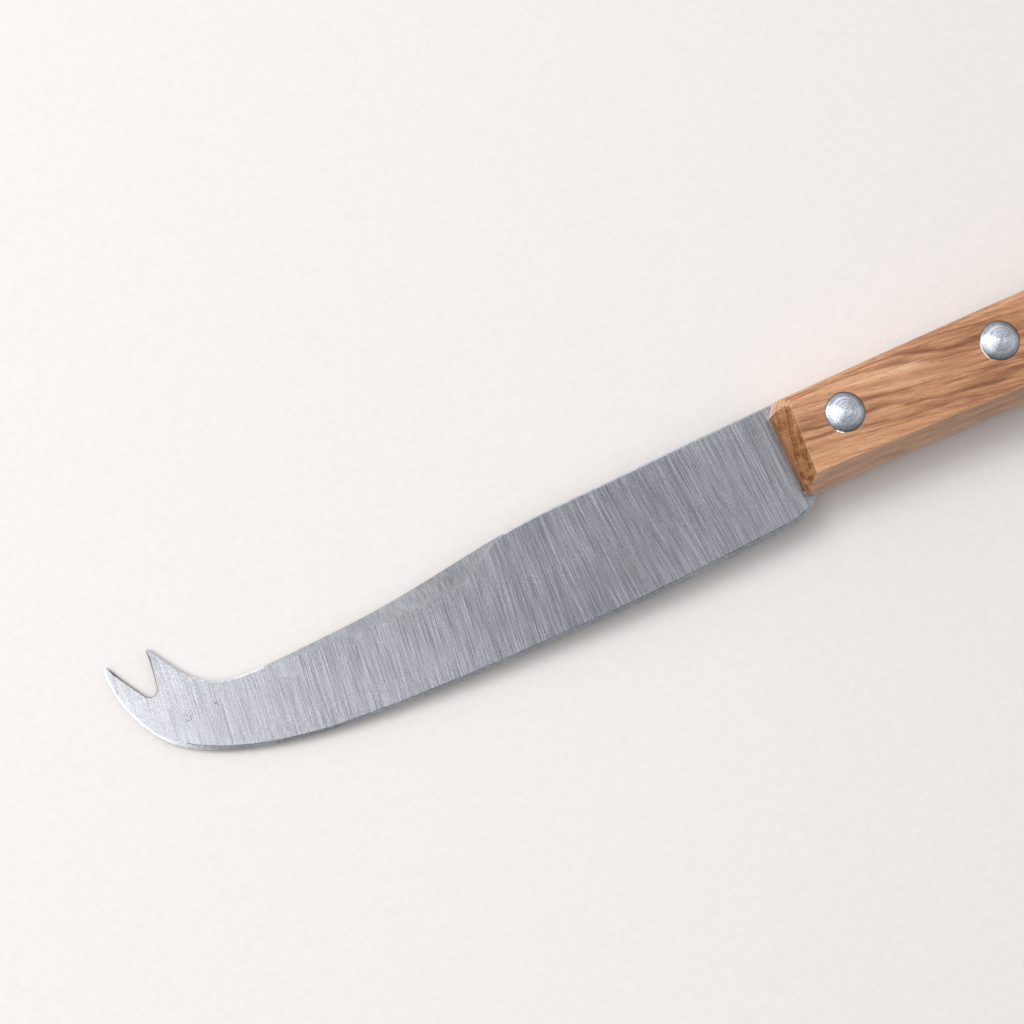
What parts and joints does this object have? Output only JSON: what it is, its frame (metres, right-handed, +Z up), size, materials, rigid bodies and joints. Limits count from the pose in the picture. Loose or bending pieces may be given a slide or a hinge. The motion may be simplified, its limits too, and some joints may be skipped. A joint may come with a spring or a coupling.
{
  "type": "cheese knife",
  "caption": "Cheese knife with a ground steel blade that curves up into a forked tip, and a riveted wooden handle on a flat tang.",
  "frame": {"origin": "under the middle of the knife as it lies on its side, on the level of the lowest rivet heads", "axes": "+X along the knife to the butt of the handle, +Y to the spine, so the cutting edge faces -Y, +Z up through the thickness"},
  "size_m": [0.2354, 0.0301, 0.0144],
  "materials": {
    "steel": "stainless steel, ground across the blade",
    "wood": "olive wood, sanded smooth and oiled thinly",
    "rivet": "aluminium, turned and set"
  },
  "bodies": {
    "root": {"blade": "steel", "scale_left": "wood", "scale_right": "wood", "rivet_front": "rivet", "rivet_middle": "rivet", "rivet_rear": "rivet"}
  },
  "joints": []
}
